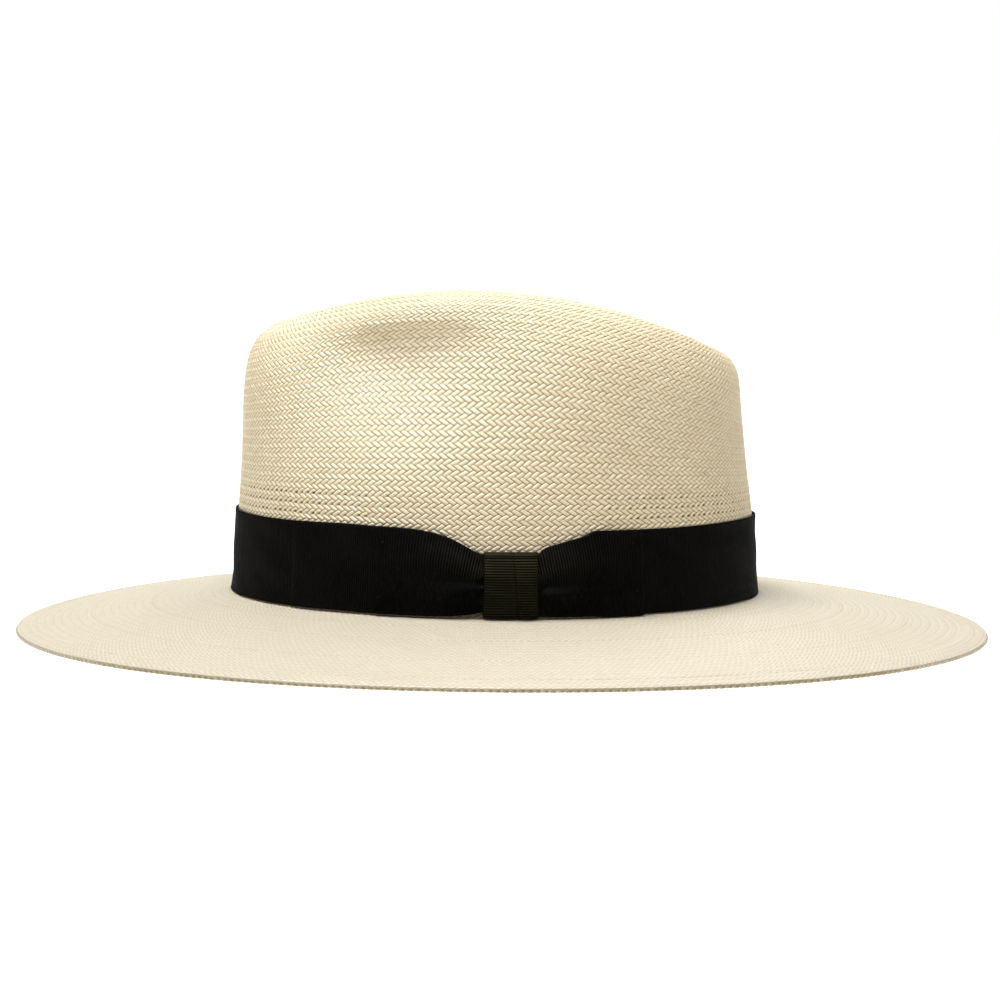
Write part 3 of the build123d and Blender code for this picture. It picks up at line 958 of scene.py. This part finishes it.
def make_loop(side, name, replaced):
    """Pressed loop: one length of ribbon out from the knot, folded at its end, and back behind itself."""
    reach = loop_reach(side)
    outer_along = np.linspace(0.3, reach - 0.8, round(reach / RIB_PITCH) * 4)
    inner_along = outer_along[::-1][::2]
    rows = 40
    share = ribbon_rows(rows)
    outer = np.stack([loop_leaf(along, share, side, True) for along in outer_along])
    inner = np.stack([loop_leaf(along, share, side, False) for along in inner_along])
    # the fold is a half turn between the ends of the two leaves
    middle, spread = (outer[-1] + inner[0]) / 2, (outer[-1] - inner[0]) / 2
    ahead = outer[-1] - outer[-9]
    ahead = ahead / np.linalg.norm(ahead, axis=-1, keepdims=True)
    size = np.linalg.norm(spread, axis=-1, keepdims=True)
    bend = np.linspace(0, np.pi, 9)[1:-1]
    fold = np.stack([middle + spread * math.cos(angle) + ahead * size * math.sin(angle) for angle in bend])
    path = np.concatenate([outer, fold, inner])
    relief = np.concatenate([ribs(len(outer), 4, RIB_RISE), np.zeros(len(fold)),
                             ribs(len(inner), 2, 0.5 * RIB_RISE)])
    distance = np.concatenate([outer_along, np.full(len(fold), reach), inner_along])
    if side < 0:
        path, relief, distance = path[::-1], relief[::-1], distance[::-1]
    # the ribs open where the gathered cloth swells near the knot, most on the upper half of the ribbon, and
    # the sheen painted on rib tops is brighter there
    near_knot = np.exp(-np.maximum(distance - KNOT_HALF_WIDTH, 0) / 17)[:, None]
    relief = edged(relief[:, None] * (0.75 + 1.1 * near_knot * smooth(share, 0.35, 0.7)), rows)
    piece = new_piece(name, *thick_sheet(path, BOW_CLOTH, False, relief), RIBBON_BLACK, "ribbon", replaced)
    add_rib_heights(piece, relief)


def knot_path(low, high, face):
    """Side view of the knot's strip as (out, z) places: in at its foot, up its face and in at its top."""
    foot, top, inside = 1.75, 0.9, face - KNOT_CORNER
    turn = np.linspace(0, np.pi / 2, 14)
    rise = np.arange(low + KNOT_CORNER, high - KNOT_CORNER, RIB_PITCH / 5)[1:]
    bulge = 0.9 * np.sin(np.pi * (rise - low) / (high - low))
    runs = [
        (foot + (inside - foot) * np.linspace(0, 1, 7)[:-1], np.full(6, low)),
        (inside + KNOT_CORNER * np.sin(turn), low + KNOT_CORNER * (1 - np.cos(turn))),
        (face + bulge, rise),
        (inside + KNOT_CORNER * np.cos(turn), high - KNOT_CORNER * (1 - np.sin(turn))),
        (inside + (top - inside) * np.linspace(0, 1, 9)[1:], np.full(8, high)),
    ]
    return [np.concatenate(column) for column in zip(*runs)]


def make_knot():
    """Short length of ribbon wrapped round the waist of the bow, its free side lapped over the other."""
    low, high, face = BREAK_Z + 0.75, KNOT_TOP_Z, 4.35
    path_out, path_z = knot_path(low, high, face)
    across = np.linspace(1, -1, 57)
    out, z = path_out[:, None], path_z[:, None]
    # the waist is squeezed a little, its sides curl in, and one side laps over the other near the middle
    lap_edge = across - 0.30 + 0.17 * (z - low) / (high - low)
    lap = 0.55 * smooth(lap_edge, 0.0, 0.04) - 0.35 * bell(lap_edge, -0.02, 0.03)
    curl = 0.9 * np.abs(across) ** 9
    soft = 0.12 * np.sin(z * 0.9 + across * 2.0)
    out = out + smooth(out, 2.6, face - 0.3) * (lap - curl + soft)
    squeeze = 1 - 0.035 * np.sin(np.pi * (z - low) / (high - low)) * np.abs(across) ** 3
    points = wall_point(angle_at(KNOT_Y + 0.93 * KNOT_HALF_WIDTH * across * squeeze), z, out)
    # the ribs stand taller toward the top of the knot, so the sheen painted on rib tops makes its upper part
    # lighter, as if lit from above
    open_ribs = 0.75 + 0.45 * smooth(path_z, low + 0.5 * (high - low), high - KNOT_CORNER)
    sides = 0.10 * bell(np.abs(across), 0.965, 0.02)
    rib_relief = (ribs(len(path_z), 5, 0.21) * open_ribs)[:, None]
    relief = rib_relief * (1 - smooth(np.abs(across), 0.93, 0.97)) + sides
    piece = new_piece("bow_knot_ribbon", *thick_sheet(points, BOW_CLOTH, False, relief), KNOT_BLACK,
                      "knot_ribbon", "bow_knot")
    add_rib_heights(piece, relief)


def make_tack_stitches():
    """Small crossed stitches at the loops' corners and at the end of the overlap."""
    places = [(LOOP_FRONT_Y + 3, 42.0, 3.6), (LOOP_FRONT_Y + 2, 21.8, 3.6), (LOOP_BACK_Y - 4, 42.0, 3.6),
              (LOOP_BACK_Y - 3, 24.5, 3.6), (OVERLAP_FRONT_Y + 1.5, 23.0, 1.75)]
    up = np.array([0, 0, 1.0])
    parts = []
    for y, z, out in places:
        centre, normal = wall_frames(angle_at(y), z, out)
        for lean in (-1, 1):
            reach = np.cross(up, normal) * 0.55 + up * 0.35 * lean
            parts.append(stitch(centre - reach, centre + reach, 0.16, 0.2, normal))
    new_piece("bow_tack_threads", *join_parts(parts), BLACK_THREAD, "black_thread", "bow_tack_stitches")


# ---------- stitching and inner pieces

def make_hem_stitching():
    """Stitches that hold the hem, as a line on the upper face and one under the hem."""
    count = 330
    t = even_angles(np.arange(count + 1) / count)
    line = brim_point(t, 1 - (HEM_WIDTH - 1.3) / brim_width(t))
    up = np.tile([0.0, 0.0, 1.0], (count + 1, 1))
    upper = stitch_line(line + up * (HEM_LIFT + 0.05), up, 0.84, 0.05, 0.09)
    lower = stitch_line((line - up * 2.08)[::-1], -up, 0.6, 0.06, 0.12)
    new_piece("hem_stitch_threads", *join_parts([upper, lower]), STRAW_THREAD, "straw_thread",
              "hem_stitching")


def make_sweatband():
    """Leather band inside the head opening, its lower edge rolled over the reed."""
    count = 720
    t = even_angles(np.arange(count) / count)[::-1]
    share = np.concatenate([np.linspace(0, 0.12, 9), np.linspace(0.12, 1, 24)[1:]])
    z = BREAK_Z - 0.2 + (SWEATBAND_TOP_Z - BREAK_Z + 0.2) * share
    middle = SWEAT_OUT - LEATHER / 2
    out = middle - 0.55 * bell(share, 0.055, 0.035) + 0.3 * smooth(share, 0.93, 1.0)
    ripple = 0.16 * soft_noise(t[:, None] * 2, z * 1.5, 81)
    points = wall_point(t[:, None], z, out + np.minimum(ripple, 0.25))
    piece = new_piece("sweatband_leather", *thick_sheet(points, LEATHER * 0.85, True), LEATHER_TAN, "leather",
                      "sweatband")


def make_reed():
    """Round reed along the lower edge of the sweatband."""
    count, sides, radius = 360, 10, 0.8
    t = even_angles(np.arange(count) / count)
    turn = 2 * np.pi * np.arange(sides) / sides
    z = BREAK_Z - 0.1 - radius + radius * np.sin(turn)
    out = SWEAT_OUT - LEATHER / 2 + radius * np.cos(turn)
    points = wall_point(t[:, None], z, out)
    index = np.arange(count * sides).reshape(count, sides)
    onward, around = np.roll(index, -1, axis=0), np.roll(index, -1, axis=1)
    quads = np.stack([index, onward, np.roll(onward, -1, axis=1), around], axis=-1).reshape(-1, 4)
    new_piece("sweatband_reed_tube", points.reshape(-1, 3), [quads[:, ::-1]], REED_LOOK, "reed_plastic",
              "sweatband_reed")


def inner_frames(x, z, out):
    """Points and inward directions on the inside of the back of the hat, at places x and heights z."""
    t = np.pi - np.arcsin(np.clip(x / 84.0, -1, 1))
    points, outward = wall_frames(t, z, out)
    return points, -outward


def make_sweatband_stitching():
    """Row of stitches just above the reed."""
    count = 190
    t = even_angles(np.arange(count + 1) / count)
    points, outward = wall_frames(t, BREAK_Z + 3.2, SWEAT_OUT - LEATHER)
    new_piece("sweatband_stitch_threads", *stitch_line(points, -outward, 0.72, 0.14, 0.2), STRAW_THREAD,
              "straw_thread", "sweatband_stitching")


def make_seam_stitching():
    """Zigzag that closes the ends of the sweatband above the small bow."""
    count = 11
    x = np.where(np.arange(count) % 2, -1.3, 1.3)
    z = 31.5 + np.arange(count) * 1.3
    points, inward = inner_frames(x, z, SWEAT_OUT - LEATHER - 0.05)
    new_piece("sweatband_seam_threads", *stitch_line(points, inward, 0.95, 0.1, 0.17), STRAW_THREAD,
              "straw_thread", "sweatband_seam_stitching")


def make_rear_bow():
    """Small flat ribbon bow where the ends of the sweatband meet: two loops and a knot."""
    parts, reliefs = [], []

    def add_strip(rows, thickness, rib_rise):
        points = np.array([place + inward * np.reshape(off, (-1, 1)) for (place, inward), off in rows])
        relief = np.repeat(ribs(points.shape[0], 4, rib_rise)[:, None], points.shape[1], axis=1)
        parts.append(thick_sheet(points, thickness, False, relief))
        reliefs.append(relief)

    against = SWEAT_OUT - LEATHER - 0.2
    upward = 2 * ribbon_rows(13) - 1
    for side in (-1, 1):
        rows = []
        for place in (side * np.linspace(0.5, REAR_BOW_REACH, 73))[::-side]:
            half_height = 2.2 + 3.2 * smooth(abs(place), 1.5, 9)
            frame_row = inner_frames(place, REAR_BOW_Z + upward * half_height, against)
            puff = 0.9 * math.sin(np.pi * min(1.0, abs(place) / REAR_BOW_REACH)) * (1 - upward ** 4) + 0.3
            rows.append((frame_row, puff))
        add_strip(rows, 0.35, 0.08)
    rows = []
    for share in np.linspace(0, 1, 33):
        frame_row = inner_frames(np.linspace(-2.4, 2.4, 9), REAR_BOW_Z - 2.9 + 5.8 * share, against)
        rows.append((frame_row, 1.25 + 0.35 * math.sin(np.pi * share)))
    add_strip(rows, 0.4, 0.09)
    piece = new_piece("sweatband_rear_bow_ribbon", *join_parts(parts), RIBBON_BLACK, "ribbon",
                      "sweatband_rear_bow")
    add_rib_heights(piece, *reliefs)


def make_size_tag():
    """Blank label stuck to the sweatband beside the small bow."""
    points = []
    for place in np.linspace(37.8, 22.2, 17):
        row, inward = inner_frames(place, np.linspace(26.3, 37.7, 13), SWEAT_OUT - LEATHER)
        points.append(row + inward * 0.05)
    piece = new_piece("size_tag_label", *thick_sheet(np.array(points), 0.25, False), LABEL_LOOK, "label",
                      "size_tag")


# ---------- camera, floor and light

def make_camera():
    """Camera on the wearer's left, level with the top of the crown and looking slightly down."""
    camera = bpy.data.objects.new("camera", bpy.data.cameras.new("camera"))
    camera.data.sensor_width = 36.0
    camera.data.lens = CAMERA_LENS
    camera.data.clip_end = 20.0
    camera.location = CAMERA_PLACE
    camera.rotation_euler = (math.pi / 2 - CAMERA_DIP, 0.0, math.pi / 2)
    roll = Matrix.Rotation(CAMERA_ROLL, 3, "Z")
    camera.rotation_euler = (camera.rotation_euler.to_matrix() @ roll).to_euler()
    bpy.context.scene.collection.objects.link(camera)
    bpy.context.scene.camera = camera


def area_light(name, azimuth, elevation, power):
    """Round softbox aimed at the hat; its azimuth in degrees is 0 at the camera and negative at the front."""
    turn, rise = math.radians(azimuth), math.radians(elevation)
    away = Vector((math.cos(rise) * math.cos(turn), math.cos(rise) * math.sin(turn), math.sin(rise)))
    light = bpy.data.objects.new(name, bpy.data.lights.new(name, "AREA"))
    light.data.shape = "DISK"
    light.data.size = LIGHT_SIZE
    light.data.energy = power
    light.location = Vector(LIGHT_TARGET) + away * LIGHT_DISTANCE
    light.rotation_euler = (-away).to_track_quat("-Z", "Y").to_euler()
    bpy.context.scene.collection.objects.link(light)
    return light


def make_world():
    """Even pale surround. Seen directly it is a white backdrop, and reflections see it half that bright."""
    world = bpy.data.worlds.new("studio")
    world.use_nodes = True
    tree = world.node_tree
    surround = tree.nodes["Background"]
    backdrop = node(tree, "ShaderNodeBackground")
    for background in (surround, backdrop):
        background.inputs["Color"].default_value = (1, 1, 1, 1)
    surround.inputs["Strength"].default_value = AMBIENT
    seen = node(tree, "ShaderNodeLightPath")
    white = node(tree, "ShaderNodeMath", operation="MULTIPLY_ADD")
    white.inputs[1].default_value = 0.5
    either = node(tree, "ShaderNodeMixShader")
    tree.links.new(seen.outputs["Is Glossy Ray"], white.inputs[0])
    tree.links.new(seen.outputs["Is Camera Ray"], white.inputs[2])
    tree.links.new(white.outputs["Value"], either.inputs["Fac"])
    tree.links.new(surround.outputs["Background"], either.inputs[1])
    tree.links.new(backdrop.outputs["Background"], either.inputs[2])
    tree.links.new(either.outputs["Shader"], tree.nodes["World Output"].inputs["Surface"])
    bpy.context.scene.world = world


def make_floor():
    """White table top, lit from below a little like a product photographer's."""
    mesh = bpy.data.meshes.new("floor")
    corners = [(x, y, FLOOR_Z) for x, y in ((-6, -6), (6, -6), (6, 6), (-6, 6))]
    mesh.from_pydata(corners, [], [(0, 1, 2, 3)])
    floor = bpy.data.objects.new("floor", mesh)
    bpy.context.scene.collection.objects.link(floor)
    made, _, shader = material("pale floor")
    shader.inputs["Base Color"].default_value = (0.5, 0.5, 0.5, 1)
    shader.inputs["Roughness"].default_value = 0.9
    shader.inputs["Specular IOR Level"].default_value = 0.1
    shader.inputs["Emission Color"].default_value = (1, 1, 1, 1)
    shader.inputs["Emission Strength"].default_value = FLOOR_GLOW
    mesh.materials.append(made)


def make_lights():
    area_light("overhead", -60, 79, 20.0)
    area_light("side", -3, 45, 4.6)
    area_light("rear side", 35, 55, 1.9)
    area_light("back", 150, 55, 5.2)
    # a reflector that shows only as gloss on the straw below the front pinch
    gloss = area_light("gloss", -43, 52, 32.0)
    gloss.visible_diffuse = False


bpy.context.scene.view_settings.view_transform = "Standard"
make_camera()
make_world()
make_floor()
make_lights()
make_crown_weave()
make_crown_knotting(False)
make_crown_knotting(True)
make_brim_weave()
make_hem()
make_hem_stitching()
make_band()
make_loop(-1, "bow_front_loop_ribbon", "bow_front_loop")
make_loop(1, "bow_rear_loop_ribbon", "bow_rear_loop")
make_knot()
make_tack_stitches()
make_sweatband()
make_reed()
make_sweatband_stitching()
make_seam_stitching()
make_rear_bow()
make_size_tag()
